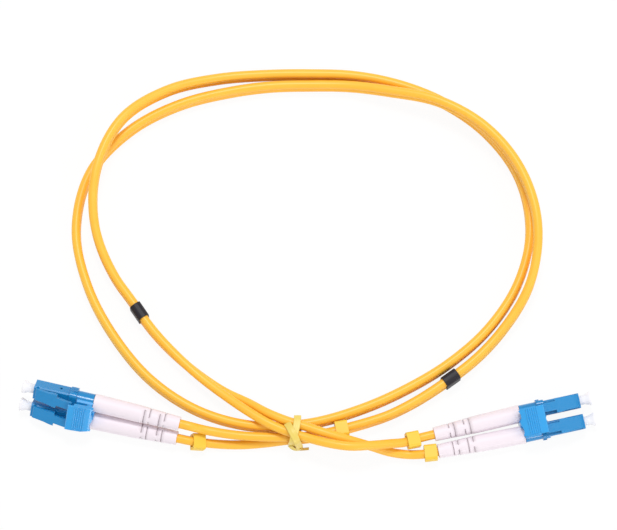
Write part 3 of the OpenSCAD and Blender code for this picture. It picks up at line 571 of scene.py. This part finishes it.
# The tie is a flat strip round the bundle, its two ends twisted together in front and crossed over the top.
# For each stretch of it: direction across, width, height of the rib, material and route.
TIE_THICKNESS = 0.24
TIE_PATHS = {
    "tie_band": ((1.0, 0.0, 0.0), 2.1, 0.06, TIE, [
        (-4.6, -9.35, 1.6), (-4.2, -8.3, 0.45), (-3.6, -6.0, 0.3), (-3.5, -3.0, 0.3), (-3.5, -1.6, 0.55),
        (-3.5, -1.1, 1.4), (-3.5, -1.1, 4.5), (-3.5, -1.1, 7.8), (-3.52, -1.5, 8.9), (-3.55, -2.4, 9.5),
        (-3.7, -4.0, 9.85), (-4.1, -6.0, 10.0), (-4.5, -7.6, 9.95), (-4.8, -8.7, 9.4), (-5.0, -9.2, 8.2),
        (-5.2, -9.15, 6.5), (-5.2, -9.0, 4.5), (-5.0, -9.15, 2.6), (-4.6, -9.5, 1.4)]),
    "tie_cross": ((0.88, 0.48, 0.1), 2.1, 0.06, TIE, [
        (-6.7, -3.6, 8.8), (-6.35, -4.1, 9.4), (-5.9, -5.0, 10.0), (-5.3, -6.2, 10.35), (-4.6, -7.5, 10.35),
        (-4.0, -8.6, 9.95), (-3.6, -9.35, 8.9), (-3.3, -9.6, 7.0), (-3.0, -9.6, 4.5), (-2.85, -9.65, 2.6),
        (-2.9, -9.75, 1.4)]),
    "tie_twist": ((0.45, 0.1, 0.9), 1.8, 0.06, TIE, [
        (-5.7, -9.2, 3.2), (-5.0, -9.7, 2.2), (-4.0, -10.0, 1.7), (-3.1, -10.0, 1.5), (-2.4, -9.8, 1.5)]),
    "tie_tail": ((0.0, 0.5, 0.85), 1.1, 0.03, TIE_TAIL, [
        (-2.9, -9.8, 1.2), (-1.8, -9.7, 1.0), (-0.9, -9.6, 0.85), (-0.2, -9.5, 0.75)]),
}
for tie_name, (tie_across, width, rib, finish, tie_points) in TIE_PATHS.items():
    piece = ribbon(tie_name, smooth(tie_points, TIE_STEPS), tie_across,
                   strip_section(width, TIE_THICKNESS, rib), finish)
    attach(piece, "root")
    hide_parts("tie")


# ---- Floor, light and background ---------------------------------------------------------------------------


# Sizes and places in metres. The floor lies just under the object.
FLOOR_SIZE = 6.0
FLOOR_Z = -0.00002
FLOOR_SHINE = 0.93
# Lights: name, place, size and power in watts, all aimed at one spot.
LIGHT_AIM = (0.0, 0.04, 0.0)
LIGHTS = (
    ("key", (0.0, 0.5, 1.25), 0.3, 7.4),
    ("side", (0.8, -0.2, 0.8), 0.5, 1.5),
    ("front", (0.5, -1.25, 0.24), 0.4, 3.0),
)
# Strength of the white background as a light, and as the camera sees it.
WORLD_LIT, WORLD_SEEN = 0.68, 1.0


def stage_plane(name, size, z, material):
    """Square plane that belongs to the stage."""
    mesh = bpy.data.meshes.new(name)
    h = size / 2
    mesh.from_pydata([(-h, -h, z), (h, -h, z), (h, h, z), (-h, h, z)], [], [(0, 1, 2, 3)])
    mesh.materials.append(material)
    obj = bpy.data.objects.new(name, mesh)
    bpy.context.scene.collection.objects.link(obj)


def floor_material(share):
    """White paper: the given share of it shines evenly for what the camera, a gloss or clear plastic sees."""
    mat = bpy.data.materials.new("floor")
    mat.use_nodes = True
    nodes, links = mat.node_tree.nodes, mat.node_tree.links
    paper, out = nodes["Principled BSDF"], nodes["Material Output"]
    paper.inputs["Base Color"].default_value = (0.97, 0.97, 0.97, 1.0)
    paper.inputs["Roughness"].default_value = 0.95
    paper.inputs["Specular IOR Level"].default_value = 0.05
    glow, rays = nodes.new("ShaderNodeEmission"), nodes.new("ShaderNodeLightPath")
    mix = nodes.new("ShaderNodeMixShader")
    seen = rays.outputs["Is Camera Ray"]
    for kind in ("Is Glossy Ray", "Is Transmission Ray"):
        larger = nodes.new("ShaderNodeMath")
        larger.operation = "MAXIMUM"
        links.new(seen, larger.inputs[0])
        links.new(rays.outputs[kind], larger.inputs[1])
        seen = larger.outputs[0]
    links.new(scaled(mat, seen, share), mix.inputs["Fac"])
    links.new(paper.outputs["BSDF"], mix.inputs[1])
    links.new(glow.outputs["Emission"], mix.inputs[2])
    links.new(mix.outputs["Shader"], out.inputs["Surface"])
    return mat


def area_light(name, place, size, energy):
    """White round light that faces the common aim."""
    data = bpy.data.lights.new(name, "AREA")
    data.shape = "DISK"
    data.size = size
    data.energy = energy
    obj = bpy.data.objects.new(name, data)
    bpy.context.scene.collection.objects.link(obj)
    z = unit(np.array(place) - np.array(LIGHT_AIM))
    obj.location = place
    obj.rotation_euler = (math.acos(z[2]), 0.0, math.atan2(z[0], -z[1]))


stage_plane("floor", FLOOR_SIZE, FLOOR_Z, floor_material(FLOOR_SHINE))
for light in LIGHTS:
    area_light(*light)

world = bpy.data.worlds.new("world")
bpy.context.scene.world = world
world.use_nodes = True
background = world.node_tree.nodes["Background"]
rays = world.node_tree.nodes.new("ShaderNodeLightPath")
strength = world.node_tree.nodes.new("ShaderNodeMapRange")
strength.inputs["To Min"].default_value = WORLD_LIT
strength.inputs["To Max"].default_value = WORLD_SEEN
world.node_tree.links.new(rays.outputs["Is Camera Ray"], strength.inputs["Value"])
world.node_tree.links.new(strength.outputs["Result"], background.inputs["Strength"])
background.inputs["Color"].default_value = (1.0, 1.0, 1.0, 1.0)

bpy.context.scene.view_settings.view_transform = "Standard"
